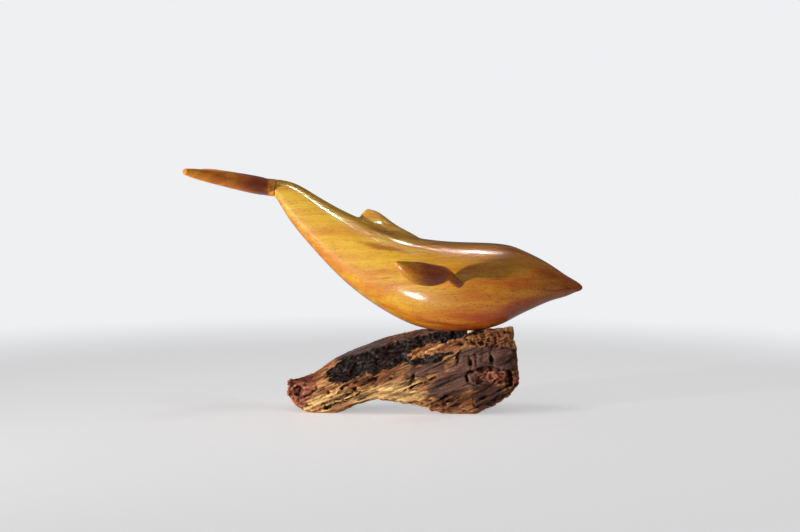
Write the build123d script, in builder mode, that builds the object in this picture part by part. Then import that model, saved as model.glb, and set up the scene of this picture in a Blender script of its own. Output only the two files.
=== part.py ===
"""A carved wooden whale that lies on a lump of rough root wood.

The whale's body and dorsal fin are one carving. Its tail fluke and its two flippers are carved apart, fitted
to the body and held by glued dowels. The whale stands on one loose dowel, in a shallow seat in the root wood,
and lifts straight off. +X is towards the nose, +Z is up, and the origin is on the floor, midway along the
whale. Sizes are in millimetres.
"""

import os
from math import cos, pi, radians, sin

from build123d import *

# Driving sizes
whale_length = 260.0  # nose tip to the tips of the fluke
whale_rise = 107.5  # lowest point of the belly to the highest of the fluke
body_width = 50.0
base_length = 153.0
base_depth = 43.0
base_height = 58.0  # floor to the top corner at the high end of the root wood
overrun = 20.0  # how far a cutting shape passes what it cuts

# Whale's body
belly_seat_depth = 4.5  # how far the belly lies below the top of the root wood
back_fullness = 2.7  # 2 is an ellipse, and more is squarer
belly_fullness = 2.2
widest_drop_share = 0.28  # of a section's half depth, from its middle down to its widest line
lens_fullness = 2.0  # of the fluke
flipper_fullness = 1.5  # which gives the flippers a soft ridge along each face
outline_points = 16  # round each section
nose_x = whale_length / 2
belly_z = base_height - belly_seat_depth
nose_tip_share = (0.0, 0.270)
# From the nose to the end of the tail stock: a point of the back line and one of the keel line, as shares of
# the whale's length behind the nose and of its rise above the belly, and the width as a share of the body's.
station_shares = [
    ((0.005, 0.287), (0.005, 0.252), 0.076),
    ((0.018, 0.310), (0.018, 0.241), 0.168),
    ((0.038, 0.338), (0.038, 0.221), 0.304),
    ((0.078, 0.403), (0.079, 0.191), 0.520),
    ((0.129, 0.472), (0.132, 0.137), 0.730),
    ((0.155, 0.501), (0.166, 0.098), 0.820),
    ((0.182, 0.526), (0.200, 0.054), 0.900),
    ((0.248, 0.546), (0.263, 0.010), 0.984),
    ((0.325, 0.552), (0.333, 0.000), 1.000),
    ((0.392, 0.566), (0.417, 0.026), 0.944),
    ((0.458, 0.594), (0.493, 0.107), 0.824),
    ((0.522, 0.647), (0.568, 0.226), 0.664),
    ((0.583, 0.711), (0.634, 0.366), 0.504),
    ((0.640, 0.780), (0.688, 0.506), 0.384),
    ((0.691, 0.853), (0.732, 0.632), 0.296),
    ((0.727, 0.903), (0.760, 0.727), 0.252),
    ((0.755, 0.927), (0.776, 0.794), 0.232),
    ((0.783, 0.938), (0.788, 0.832), 0.224),
]

# Dorsal fin
dorsal_height = 8.4
dorsal_length = 52.0
dorsal_width = 15.0  # at its foot
dorsal_slope = 16.5  # degrees that the back falls there towards the nose
dorsal_place_share = (0.550, 0.676)
# Up from the fin's foot: the height's share, the rear and the front end as shares of the length, and the
# width's share.
dorsal_shares = [
    (-0.50, -0.170, 0.86, 1.00),
    (0.00, -0.140, 0.66, 0.55),
    (0.30, -0.115, 0.43, 0.36),
    (0.62, -0.094, 0.26, 0.24),
    (0.84, -0.075, 0.17, 0.17),
    (1.00, -0.050, 0.05, 0.09),
]

# Flippers
flipper_span = 56.0
flipper_chord = 15.5
flipper_thickness = 9.0
flipper_lean = 18.0  # degrees that the chord leans from upright, its trailing edge outwards
flipper_root_share = (0.337, 0.332)
flipper_flank_share = 0.48  # of the body's width, out to the flank there
# Along the flipper: its middle line's way back, out and up as shares of the span, the chord's share and the
# thickness's. The first section is inside the body, where the blank is scribed away.
flipper_shares = [
    (-0.04, -0.120, -0.035, 0.46, 0.66),
    (0.010, 0.060, 0.025, 0.46, 0.70),
    (0.095, 0.210, 0.083, 0.68, 0.88),
    (0.205, 0.340, 0.083, 0.89, 1.00),
    (0.325, 0.425, 0.094, 1.00, 0.97),
    (0.435, 0.483, 0.119, 0.95, 0.86),
    (0.535, 0.518, 0.158, 0.72, 0.66),
    (0.615, 0.536, 0.205, 0.38, 0.44),
    (0.665, 0.545, 0.236, 0.11, 0.20),
]

# Tail fluke
fluke_span = 87.0
fluke_tilt = 12.0  # degrees that it rises towards its tips
fluke_thickness = 11.4
fluke_drop_share = 0.12  # of the tail stock's half depth, that the lobes lie below its middle
fluke_leading_swell_share = 0.16  # how much thicker the leading half is
# The block between the tail stock and the lobes: the way back as a share of the reach, and the width and the
# depth as shares of the tail stock's.
fluke_root_shares = [(0.00, 1.00, 1.00), (0.12, 1.18, 0.97), (0.26, 1.70, 0.86)]
# Out from the middle: the share of the half span, the leading and the trailing edge as shares of the reach
# behind the tail stock, and the thickness's share.
fluke_shares = [
    (0.00, 0.02, 0.37, 1.00),
    (0.16, 0.05, 0.44, 1.00),
    (0.37, 0.185, 0.545, 0.94),
    (0.58, 0.39, 0.68, 0.83),
    (0.78, 0.63, 0.82, 0.69),
    (0.92, 0.83, 0.935, 0.53),
    (1.00, 0.945, 1.00, 0.34),
]

# Dowels
fluke_dowel_diameter = 4.0
fluke_dowel_length = 18.0
flipper_dowel_diameter = 3.0
flipper_dowel_length = 14.0
flipper_dowel_way_shares = (-0.13, -0.34, 0.13)  # along, across and up
mounting_dowel_diameter = 6.0
mounting_dowel_share = 0.284  # its place along the whale, behind the nose
dowel_in_base = 16.0
dowel_in_belly = 13.0
dowel_chamfer = 0.5
glue_gap = 0.4  # left at the bottom of each dowel hole
lift_clearance = 0.06  # on the radius, where the belly slips over the mounting dowel
seat_clearance = 0.3  # between the belly and its seat

# Root wood
low_end_share = -0.431  # of the base's length, from the middle of the whale
end_slant = 6.0  # degrees that the broken high end leans out towards the floor
end_corner_share = 0.38  # of the height, where that end reaches furthest
# Along the base from the low end: the place; the bottom, the front edge, the valley and the ridge as shares
# of the height; the front and the rear face as shares of the depth.
root_shares = [
    (0.000, 0.180, 0.340, 0.360, 0.385, -0.12, 0.15),
    (0.035, 0.060, 0.345, 0.355, 0.380, -0.22, 0.26),
    (0.105, -0.026, 0.350, 0.390, 0.420, -0.28, 0.35),
    (0.196, -0.026, 0.390, 0.490, 0.590, -0.33, 0.42),
    (0.288, 0.090, 0.380, 0.560, 0.705, -0.36, 0.47),
    (0.386, 0.165, 0.470, 0.640, 0.800, -0.38, 0.51),
    (0.484, 0.110, 0.590, 0.670, 0.880, -0.40, 0.53),
    (0.588, 0.078, 0.720, 0.690, 0.940, -0.43, 0.53),
    (0.693, -0.026, 0.840, 0.770, 0.945, -0.45, 0.51),
    (0.797, -0.026, 0.915, 0.925, 0.940, -0.47, 0.51),
    (0.900, 0.110, 0.975, 0.950, 0.935, -0.43, 0.47),
    (0.955, 0.200, 1.000, 0.965, 0.945, -0.39, 0.43),
    (1.020, 0.380, 1.000, 0.970, 0.950, -0.33, 0.37),
]
# Round a section, with the ribs that run along the lump: across from the front face to the rear one, and up
# from the bottom to the front edge or the ridge.
front_ring_shares = [
    (0.12, 0.00), (0.02, 0.13), (0.065, 0.24), (0.00, 0.38), (0.050, 0.50),
    (0.01, 0.62), (0.070, 0.73), (0.045, 0.87), (0.14, 1.00),
]
valley_share = 0.46
top_ring_shares = [(0.30, 0.55), (valley_share, 0.00), (0.60, 0.36)]
rear_ring_shares = [
    (0.74, 1.00), (0.89, 0.86), (0.86, 0.73), (0.965, 0.60), (0.925, 0.48), (1.00, 0.34), (0.94, 0.20), (0.95, 0.09),
    (0.87, 0.00),
]
# Knot holes in the front face: their places along and up the base, then their sizes.
knot_shares = [(0.849, 0.40), (0.783, 0.47), (0.043, 0.245)]
knot_sizes = [(11.0, 7.0), (5.0, 4.0), (7.0, 5.5)]
knot_depth = 3.0
knot_flare = 12.0  # degrees that its wall opens towards the front
# Splits along the grain of the front face: the places of their lower ends along and up the base, and their
# lengths as shares of the base's.
split_shares = [
    (-0.03, 0.20, 0.24),
    (-0.02, 0.30, 0.16),
    (0.08, 0.13, 0.28),
    (0.22, 0.15, 0.26),
    (0.34, 0.30, 0.22),
    (0.46, 0.22, 0.24),
    (0.60, 0.12, 0.20),
    (0.68, 0.09, 0.17),
]
split_width = 1.8
split_depth = 3.4
split_widest_share = 0.4  # of its length, from the lower end
grain_slope = 21.0  # degrees that the grain climbs towards the high end
# Cracks in the front face: the places of their lower ends along and up the base, the degrees that they climb,
# and their lengths and widths as shares of the base's length.
crack_shares = [
    (0.726, 0.55, 73.0, 0.075, 0.018),
    (0.787, 0.52, 96.0, 0.060, 0.017),
    (0.835, 0.55, 88.0, 0.070, 0.012),
    (0.884, 0.53, 96.0, 0.092, 0.013),
    (0.790, 0.83, -10.0, 0.120, 0.013),
    (0.775, 0.50, 4.0, 0.180, 0.014),
    (0.955, 0.29, 88.0, 0.075, 0.030),
    (0.762, 0.47, -62.0, 0.062, 0.015),
    (0.805, 0.15, 24.0, 0.100, 0.014),
    (0.021, 0.33, 12.0, 0.120, 0.014),
    (0.115, 0.36, 100.0, 0.030, 0.016),
    (0.165, 0.27, -40.0, 0.040, 0.018),
    (0.285, 0.31, -60.0, 0.036, 0.020),
    (0.335, 0.33, 31.0, 0.070, 0.020),
    (0.235, 0.37, 75.0, 0.040, 0.018),
    (0.530, 0.39, 64.0, 0.042, 0.014),
]
crack_depth = 4.4
low_end_x = low_end_share * base_length


def whale_point(share):
    """The middle plane's point at a share of the length behind the nose and of the rise above the belly."""
    return Vector(nose_x - share[0] * whale_length, 0, belly_z + share[1] * whale_rise)


def side_plane(point, upright):
    """A plane across the whale through the point, with its own y along the upright direction."""
    across = Vector(0, 1, 0)
    return Plane(point, x_dir=across, z_dir=across.cross(upright))


def oval_points(half_width, half_depth, top, bottom, drop=0.0):
    """Points round an oval that is squarer than an ellipse where its fullness is over 2. The oval is widest at a
    drop below its middle, a share of the half depth."""
    points = []
    for step in range(outline_points):
        turn = 2 * pi * step / outline_points
        power = 2 / (top if sin(turn) > 0 else bottom)
        across = half_width * abs(cos(turn)) ** power * (1 if cos(turn) > 0 else -1)
        up = abs(sin(turn)) ** power * (1 + drop if sin(turn) > 0 else drop - 1) - drop
        points.append((across, half_depth * up))
    return points


def closed_curve(points):
    """A smooth closed curve. Its knots fall alike on every section, which keeps a loft through them plain."""
    knots = [step / len(points) for step in range(len(points) + 1)]
    return Edge.make_spline([Vector(*point) for point in points], periodic=True, parameters=knots)


def front_plane(place_share, depth_place_share, up_share, climb):
    """A plane that faces forwards, with its x climbing by some degrees, from a place along and up the root wood.
    It touches the front face at another place."""
    for before, after in zip(root_shares, root_shares[1:]):
        if depth_place_share <= after[0]:
            part = (depth_place_share - before[0]) / (after[0] - before[0])
            front = (before[5] + part * (after[5] - before[5])) * base_depth
            break
    turn = radians(climb)
    origin = (low_end_x + place_share * base_length, front, up_share * base_height)
    return Plane(origin, x_dir=(cos(turn), 0, sin(turn)), z_dir=(0, -1, 0))


# Whale's body, with the dorsal fin carved in one with it, before it is bored
with BuildPart() as carving:
    body_slices = []
    for back_share, keel_share, width_share in station_shares:
        back, keel = whale_point(back_share), whale_point(keel_share)
        half_width, half_depth = width_share * body_width / 2, (back - keel).length / 2
        with BuildSketch(side_plane((back + keel) / 2, (back - keel).normalized())) as slice_sketch:
            with BuildLine():
                section = oval_points(half_width, half_depth, back_fullness, belly_fullness, widest_drop_share)
                add(closed_curve(section))
            make_face()
        body_slices.append(slice_sketch.sketch)
    loft([Vertex(*whale_point(nose_tip_share)), *body_slices])
    dorsal_foot = Plane(whale_point(dorsal_place_share)).rotated((0, dorsal_slope, 0))
    dorsal_slices = []
    for height_share, rear_share, front_share, width_share in dorsal_shares:
        with BuildSketch(dorsal_foot.offset(height_share * dorsal_height)) as slice_sketch:
            with Locations(((rear_share + front_share) / 2 * dorsal_length, 0)):
                Ellipse((front_share - rear_share) / 2 * dorsal_length, width_share * dorsal_width / 2)
        dorsal_slices.append(slice_sketch.sketch)
    loft(dorsal_slices)

stock_top, stock_bottom = whale_point(station_shares[-1][0]), whale_point(station_shares[-1][1])
stock_end = side_plane((stock_top + stock_bottom) / 2, (stock_top - stock_bottom).normalized())
stock_half_width = station_shares[-1][2] * body_width / 2
stock_half_depth = (stock_top - stock_bottom).length / 2

root_point = whale_point(flipper_root_share) - Vector(0, flipper_flank_share * body_width, 0)
flipper_line = []
for back_share, out_share, up_share, chord_share, thickness_share in flipper_shares:
    flipper_line.append(root_point + Vector(-back_share, -out_share, up_share) * flipper_span)
flipper_joint = Plane(root_point, z_dir=flipper_dowel_way_shares)

# Glued dowels of the fluke and the flippers, each half in the body, and the holes that they fill
with BuildPart() as fluke_dowel:
    with Locations(stock_end):
        Cylinder(fluke_dowel_diameter / 2, fluke_dowel_length)
    chamfer(fluke_dowel.edges().filter_by(GeomType.CIRCLE), dowel_chamfer)
with BuildPart() as right_flipper_dowel:
    with Locations(flipper_joint):
        Cylinder(flipper_dowel_diameter / 2, flipper_dowel_length)
    chamfer(right_flipper_dowel.edges().filter_by(GeomType.CIRCLE), dowel_chamfer)
with BuildPart() as left_flipper_dowel:
    mirror(right_flipper_dowel.part, about=Plane.XZ)
with BuildPart() as glued_holes:
    with Locations(stock_end):
        Cylinder(fluke_dowel_diameter / 2, fluke_dowel_length + 2 * glue_gap)
    with Locations(flipper_joint):
        Cylinder(flipper_dowel_diameter / 2, flipper_dowel_length + 2 * glue_gap)
    mirror(about=Plane.XZ)

# Mounting dowel, which stands in the root wood and carries the whale
dowel_foot = Plane(whale_point((mounting_dowel_share, 0)) - Vector(0, 0, dowel_in_base))
standing = (Align.CENTER, Align.CENTER, Align.MIN)
with BuildPart() as mounting_dowel:
    with Locations(dowel_foot):
        Cylinder(mounting_dowel_diameter / 2, dowel_in_base + dowel_in_belly, align=standing)
    chamfer(mounting_dowel.edges().filter_by(GeomType.CIRCLE), dowel_chamfer)

with BuildPart() as whale_body:
    add(carving.part)
    add(glued_holes.part, mode=Mode.SUBTRACT)
    with Locations(dowel_foot):
        slip_radius = mounting_dowel_diameter / 2 + lift_clearance
        Cylinder(slip_radius, dowel_in_base + dowel_in_belly + glue_gap, align=standing, mode=Mode.SUBTRACT)

# Tail fluke, butted against the sawn end of the tail stock
reach = (stock_end.origin.X + whale_length / 2) / cos(radians(fluke_tilt))
lobes_start = stock_end.origin - stock_end.y_dir * (fluke_drop_share * stock_half_depth)
fluke_plane = Plane(lobes_start, x_dir=(-1, 0, 0), z_dir=(0, 1, 0)).rotated((0, fluke_tilt, 0))
with BuildPart() as tail_fluke:
    lobe_slices = []
    for out_share, lead_share, trail_share, thickness_share in fluke_shares:
        half_chord = (trail_share - lead_share) / 2 * reach
        middle = lead_share * reach + half_chord
        half_thickness = thickness_share * fluke_thickness / 2
        outline = []
        for along, up in oval_points(half_chord, half_thickness, lens_fullness, lens_fullness):
            outline.append((middle + along, up * (1 - fluke_leading_swell_share * along / half_chord)))
        with BuildSketch(fluke_plane.offset(out_share * fluke_span / 2)) as slice_sketch:
            with BuildLine():
                add(closed_curve(outline))
            make_face()
        lobe_slices.append(slice_sketch.sketch)
    loft(lobe_slices)
    mirror(about=Plane.XZ)
    root_slices = []
    for back_share, width_share, depth_share in fluke_root_shares:
        half_width, half_depth = width_share * stock_half_width, depth_share * stock_half_depth
        with BuildSketch(stock_end.offset(-back_share * reach)) as slice_sketch:
            with BuildLine():
                section = oval_points(half_width, half_depth, back_fullness, belly_fullness, widest_drop_share)
                add(closed_curve(section))
            make_face()
        root_slices.append(slice_sketch.sketch)
    loft(root_slices)
    add(glued_holes.part, mode=Mode.SUBTRACT)

# Flippers, both cut from one pattern and each scribed to its own flank
with BuildPart() as flipper_blank:
    flipper_slices = []
    ends = [flipper_line[0], *flipper_line, flipper_line[-1]]
    for before, point, after, shares in zip(ends, flipper_line, ends[2:], flipper_shares):
        run = (after - before).normalized()
        upright = (Vector(0, 0, 1) - run * run.Z).normalized().rotate(Axis((0, 0, 0), run), flipper_lean)
        half_chord, half_thickness = shares[3] * flipper_chord / 2, shares[4] * flipper_thickness / 2
        with BuildSketch(Plane(point, x_dir=upright, z_dir=run)) as slice_sketch:
            with BuildLine():
                add(closed_curve(oval_points(half_chord, half_thickness, flipper_fullness, flipper_fullness)))
            make_face()
        flipper_slices.append(slice_sketch.sketch)
    loft(flipper_slices)
with BuildPart() as right_flipper:
    add(flipper_blank.part)
    add(carving.part, mode=Mode.SUBTRACT)
    add(glued_holes.part, mode=Mode.SUBTRACT)
with BuildPart() as left_flipper:
    mirror(flipper_blank.part, about=Plane.XZ)
    add(carving.part, mode=Mode.SUBTRACT)
    add(glued_holes.part, mode=Mode.SUBTRACT)

# Root wood: one lump, sawn flat under its feet and broken off at the high end
with BuildPart() as driftwood_base:
    lump_slices = []
    for place_share, bottom_share, edge_share, dip_share, ridge_share, front_share, rear_share in root_shares:
        front, depth = front_share * base_depth, (rear_share - front_share) * base_depth
        bottom, edge, ridge = bottom_share * base_height, edge_share * base_height, ridge_share * base_height
        ring = [(front + across * depth, bottom + up * (edge - bottom)) for across, up in front_ring_shares]
        for across, up in top_ring_shares:
            side = edge if across < valley_share else ridge
            dip = dip_share * base_height
            ring.append((front + across * depth, dip + up * (side - dip)))
        ring += [(front + across * depth, bottom + up * (ridge - bottom)) for across, up in rear_ring_shares]
        with BuildSketch(Plane.YZ.offset(low_end_x + place_share * base_length)) as slice_sketch:
            with BuildLine():
                Polyline(*ring, close=True)
            make_face()
        lump_slices.append(slice_sketch.sketch)
    loft(lump_slices, ruled=True)
    sawn_off = (Align.CENTER, Align.CENTER, Align.MAX)
    Box(2 * base_length, 2 * base_depth, overrun, align=sawn_off, mode=Mode.SUBTRACT)
    high_end = Plane((low_end_x + base_length, 0, end_corner_share * base_height))
    with Locations(high_end.rotated((0, -end_slant, 0))):
        broken_off = (Align.MIN, Align.CENTER, Align.CENTER)
        Box(overrun, 2 * base_depth, 2 * base_height, align=broken_off, mode=Mode.SUBTRACT)
    # Knot holes, flared towards the front
    for (place_share, up_share), (long_size, short_size) in zip(knot_shares, knot_sizes):
        knot_floor = front_plane(place_share, place_share, up_share, grain_slope).offset(-knot_depth)
        with BuildSketch(knot_floor) as knot_sketch:
            Ellipse(long_size / 2, short_size / 2)
        extrude(knot_sketch.sketch, amount=overrun, taper=-knot_flare, mode=Mode.SUBTRACT)
    # Splits and cracks
    gashes = [(*shares[:2], grain_slope, shares[2], split_width / base_length, split_depth) for shares in split_shares]
    gashes += [(*shares, crack_depth) for shares in crack_shares]
    for place_share, up_share, climb, length_share, width_share, gash_depth in gashes:
        length, half_width = length_share * base_length, width_share * base_length / 2
        widest = split_widest_share * length
        middle_share = place_share + length_share / 2 * cos(radians(climb))
        gash_floor = front_plane(place_share, middle_share, up_share, climb).offset(-gash_depth)
        with BuildSketch(gash_floor) as gash_sketch:
            with BuildLine():
                Polyline((0, 0), (widest, half_width), (length, 0), (widest, -half_width), close=True)
            make_face()
        extrude(gash_sketch.sketch, amount=overrun, mode=Mode.SUBTRACT)
    # Seat of the belly, and the hole of the mounting dowel
    add(carving.part.moved(Location((0, 0, -seat_clearance))), mode=Mode.SUBTRACT)
    with Locations(dowel_foot.offset(-glue_gap)):
        Cylinder(mounting_dowel_diameter / 2, base_height, align=standing, mode=Mode.SUBTRACT)

pieces = {
    "whale_body": whale_body,
    "tail_fluke": tail_fluke,
    "right_flipper": right_flipper,
    "left_flipper": left_flipper,
    "fluke_dowel": fluke_dowel,
    "right_flipper_dowel": right_flipper_dowel,
    "left_flipper_dowel": left_flipper_dowel,
    "mounting_dowel": mounting_dowel,
    "driftwood_base": driftwood_base,
}
os.makedirs("parts", exist_ok=True)
for label, piece in pieces.items():
    piece.part.label = label
    export_step(piece.part, f"parts/{label}.step")
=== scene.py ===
"""Dresses the whale figurine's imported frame: lacquered whale, rough root wood, splinters, stage and camera.

The file is laid out as an add-on and is run as a script. The frame gives every place and size, in metres.
Each operator makes one group of pieces, and main() calls them in order.
"""

from math import cos, radians, sin

import bpy
import numpy as np
from bpy.props import FloatProperty, FloatVectorProperty, IntProperty, PointerProperty
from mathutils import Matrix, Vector
from mathutils.bvhtree import BVHTree
from mathutils.kdtree import KDTree


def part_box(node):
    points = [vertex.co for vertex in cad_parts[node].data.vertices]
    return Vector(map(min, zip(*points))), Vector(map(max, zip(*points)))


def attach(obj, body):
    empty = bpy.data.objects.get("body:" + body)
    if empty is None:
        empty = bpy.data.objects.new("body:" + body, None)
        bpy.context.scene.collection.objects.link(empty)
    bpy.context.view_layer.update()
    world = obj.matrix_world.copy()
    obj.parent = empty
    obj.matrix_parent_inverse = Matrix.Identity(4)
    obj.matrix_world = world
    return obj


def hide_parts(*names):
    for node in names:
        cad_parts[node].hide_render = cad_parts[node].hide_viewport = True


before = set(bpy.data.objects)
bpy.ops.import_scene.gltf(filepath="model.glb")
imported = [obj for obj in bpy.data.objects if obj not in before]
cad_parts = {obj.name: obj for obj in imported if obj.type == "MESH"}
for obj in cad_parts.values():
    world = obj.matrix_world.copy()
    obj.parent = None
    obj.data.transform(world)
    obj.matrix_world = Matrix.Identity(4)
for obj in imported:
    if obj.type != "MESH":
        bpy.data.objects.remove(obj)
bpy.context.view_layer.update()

bl_info = {
    "name": "Whale figurine",
    "version": (1, 0, 0),
    "blender": (4, 5, 0),
    "location": "View3D > Sidebar > Figurine",
    "description": "Makes the lacquered whale, its root wood and the stage on the packed frame",
    "category": "Object",
}

MM = 0.001
LEVEL = (0.0, 0.0, 0.0)
SAME_PLACE = 0.002 * MM  # vertices closer than this are merged
GRAIN_SLOPE = radians(23)  # the root wood's fibres rise towards the whale's head
GRAIN = (cos(GRAIN_SLOPE), 0.0, sin(GRAIN_SLOPE))
RING_WAVE = 0.314  # metres between the rings of Blender's wave texture at scale 1

# Each pair is where something begins and where it is complete, in metres
FIN_BACK, FIN_FRONT, FIN_FOOT = (-34 * MM, -26 * MM), (42 * MM, 52 * MM), (104 * MM, 110 * MM)
FORWARD, NOSE = (-5 * MM, 95 * MM), (98 * MM, 128 * MM)
# FLUKE_ROOT, FLUKE_SEAM and FLIPPER_ROOT also set where the painted shade at the fins' roots lies
FLUKE_ROOT, FLUKE_SEAM = (-104 * MM, -84 * MM), (-79.5 * MM, -77.5 * MM)
FLIPPER_ROOT, FLIPPER_ROOT_UP, FLIPPER_ROOT_SLOPE = (17 * MM, 33 * MM), 91 * MM, 0.8
BELLY_RIM, DOWEL_RIM, FOOT_RIM = (0.0, 2.5 * MM), (4 * MM, 9 * MM), (0.0, 1.6 * MM)
SPLINTER_FOOT, SPLINTER_END = (1 * MM, 3 * MM), (58 * MM, 64 * MM)

SLICES = 80  # along the body, to find how high a point lies between belly and back
DOWEL_X = 56.2 * MM  # the mounting dowel's axis
WOOD_MIDDLE = 8 * MM  # middle of the root wood's length
HIGHEST_SHARE = 0.8  # share of the room under the belly that a lump may fill
# the crest height at which the painted highlight on ridges is brightest
CREST_HEIGHT = 0.30 * MM  # a crest that is as bright as it gets
FILM_WIDTH = 36.0  # millimetres, for the camera's focal length
PATCH_BORDER = 2.0  # millimetres to either side of a patch's depth, over which it fades


# Numbers for rough wood

def scatter(corners, seed):
    """Three fixed random numbers from -1 to 1 for each whole-numbered corner."""
    corners = corners.astype(np.int64).view(np.uint64)
    mixed = (
        corners[:, 0] * np.uint64(0x9E3779B97F4A7C15)
        ^ corners[:, 1] * np.uint64(0xC2B2AE3D27D4EB4F)
        ^ corners[:, 2] * np.uint64(0x165667B19E3779F9)
    ) + np.uint64(seed * 7919 + 17)
    for shift, factor in ((30, 0xBF58476D1CE4E5B9), (27, 0x94D049BB133111EB)):
        mixed = (mixed ^ (mixed >> np.uint64(shift))) * np.uint64(factor)
    mixed = mixed ^ (mixed >> np.uint64(31))
    part = np.uint64(0x1FFFFF)
    thirds = [(mixed >> np.uint64(21 * i)) & part for i in range(3)]
    return np.stack(thirds, axis=1).astype(float) / 0xFFFFF - 1.0


def swell(points, seed):
    """Smooth random swell, from about -1 to 1, with one hump in each unit cell."""
    corner = np.floor(points).astype(np.int64)
    part = points - corner
    ease = part * part * part * (part * (part * 6.0 - 15.0) + 10.0)
    total = np.zeros(len(points))
    for step in np.ndindex(2, 2, 2):
        step = np.array(step)
        slopes = scatter(corner + step, seed)
        share = np.prod(np.where(step, ease, 1.0 - ease), axis=1)
        total += share * ((part - step) * slopes).sum(axis=1)
    return np.clip(total * 1.7, -1.0, 1.0)


def rough(points, seed, octaves=3):
    """Swell on swell, each half as long and half as high as the last."""
    total, height = np.zeros(len(points)), 1.0
    for octave in range(octaves):
        total += height * swell(points * 2.0**octave, seed + 31 * octave)
        height *= 0.5
    return total


def lumps(points, seed):
    """Random lumps: distance to the nearest centre, the seam's width there, the lump's number and the offset."""
    corner = np.floor(points).astype(np.int64)
    near = np.full(len(points), 9.0)
    second, own, offset = near.copy(), np.zeros(len(points)), np.zeros_like(points)
    for step in np.ndindex(3, 3, 3):
        cell = corner + (np.array(step) - 1)
        random = scatter(cell, seed)
        away = points - (cell + 0.5 + 0.42 * random)
        reach = np.sqrt((away * away).sum(axis=1))
        closer = reach < near
        second = np.where(closer, near, np.minimum(second, reach))
        own = np.where(closer, random[:, 0] * random[:, 1] * 2.0 + random[:, 2] * 0.5, own)
        offset = np.where(closer[:, None], away, offset)
        near = np.where(closer, reach, near)
    return near, second - near, own, offset


def step_up(value, low, high):
    """0 below low, 1 above high, and a smooth rise between them."""
    t = np.clip((value - low) / (high - low), 0.0, 1.0)
    return t * t * (3.0 - 2.0 * t)


# Meshes

def rows(items, field, width=3, kind=float):
    """One field of all vertices, normals or edges as the rows of an array."""
    flat = np.empty(len(items) * width, kind)
    items.foreach_get(field, flat)
    return flat.reshape(-1, width)


def put_points(mesh, points):
    """Moves the mesh's vertices to these points."""
    mesh.vertices.foreach_set("co", points.astype(np.float32).ravel())
    mesh.update()


def put_shares(mesh, name, values):
    """Stores one number for each vertex under this name."""
    layer = mesh.attributes.get(name) or mesh.attributes.new(name, "FLOAT", "POINT")
    layer.data.foreach_set("value", values.astype(np.float32))


def eased(values, edges, times, hold):
    """Draws each vertex's values towards the mean of its neighbours' values, as strongly as hold says."""
    count = np.bincount(edges.ravel(), minlength=len(values)).clip(1)
    hold = np.broadcast_to(hold, len(values))[:, None]
    for _ in range(times):
        middle = np.stack([
            np.bincount(edges[:, 0], column[edges[:, 1]], len(values))
            + np.bincount(edges[:, 1], column[edges[:, 0]], len(values))
            for column in values.T
        ], axis=1) / count[:, None]
        values = values + hold * (middle - values)
    return values


def spread(values, edges, times):
    """Blurs one number over the mesh's neighbours."""
    return eased(values[:, None], edges, times, 0.6)[:, 0]


def above_ground(points):
    """The points, with those below the ground lifted to it."""
    return np.column_stack([points[:, :2], points[:, 2].clip(0.0)])


def new_object(name, mesh):
    """A new object at the origin, shaded smooth."""
    mesh.shade_smooth()
    piece = bpy.data.objects.new(name, mesh)
    bpy.context.scene.collection.objects.link(piece)
    return piece


def with_modifiers(piece):
    """The piece's mesh with its modifiers worked in. The modifiers are then taken off."""
    depsgraph = bpy.context.evaluated_depsgraph_get()
    mesh = bpy.data.meshes.new_from_object(piece.evaluated_get(depsgraph))
    piece.modifiers.clear()
    return mesh


def even_skin(name, source, step):
    """A piece with an even skin of small faces, laid over a copy of the source mesh whose doubles are merged."""
    piece = new_object(name, source.copy())
    piece.modifiers.new("Weld", "WELD").merge_threshold = SAME_PLACE
    skin = piece.modifiers.new("Skin", "REMESH")
    skin.mode, skin.voxel_size = "VOXEL", step
    piece.data = with_modifiers(piece)
    piece.data.name = name
    piece.data.shade_smooth()
    return piece


def surface_of(mesh):
    """The mesh's surface, for finding the nearest place on it."""
    return BVHTree.FromPolygons(rows(mesh.vertices, "co").tolist(), [tuple(f.vertices) for f in mesh.polygons])


def carved_skin(name, node, step):
    """A piece for a CAD node, with its vertices' nearest places on the node's surface and its edges."""
    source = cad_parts[node].data
    piece = even_skin(name, source, step)
    surface = surface_of(source)
    points = np.array([tuple(surface.find_nearest(Vector(p))[0]) for p in rows(piece.data.vertices, "co")])
    return piece, points, rows(piece.data.edges, "vertices", 2, np.int32)


def finished(piece, body, slot, material, *nodes):
    """Gives the piece its material, lets it ride on its body and stand for its CAD nodes."""
    piece.data.materials.clear()
    piece.data.materials.append(material)
    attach(piece, body)
    if nodes:
        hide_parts(*nodes)


# Materials

class Nodes:
    """A node tree, written from left to right."""

    def __init__(self, tree):
        self.tree = tree

    def feed(self, socket, value):
        """Links a socket to another node's output, or sets it to a plain value."""
        if isinstance(value, bpy.types.NodeSocket):
            self.tree.links.new(value, socket)
        else:
            socket.default_value = (*value, 1.0) if socket.type == "RGBA" else value

    def node(self, kind, inputs=(), **settings):
        """A node with these settings and inputs."""
        made = self.tree.nodes.new(kind)
        for key, value in settings.items():
            setattr(made, key, value)
        for key, value in dict(inputs).items():
            self.feed(made.inputs[key], value)
        return made

    def sum(self, kind, a, b):
        """One step of arithmetic."""
        return self.node("ShaderNodeMath", {0: a, 1: b}, operation=kind).outputs[0]

    def vector(self, kind, a, b):
        """One step of arithmetic with places."""
        return self.node("ShaderNodeVectorMath", {0: a, 1: b}, operation=kind).outputs[0]

    def scaled(self, value, by):
        """A place or a colour times a number."""
        return self.node("ShaderNodeVectorMath", {0: value, "Scale": by}, operation="SCALE").outputs[0]


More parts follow.
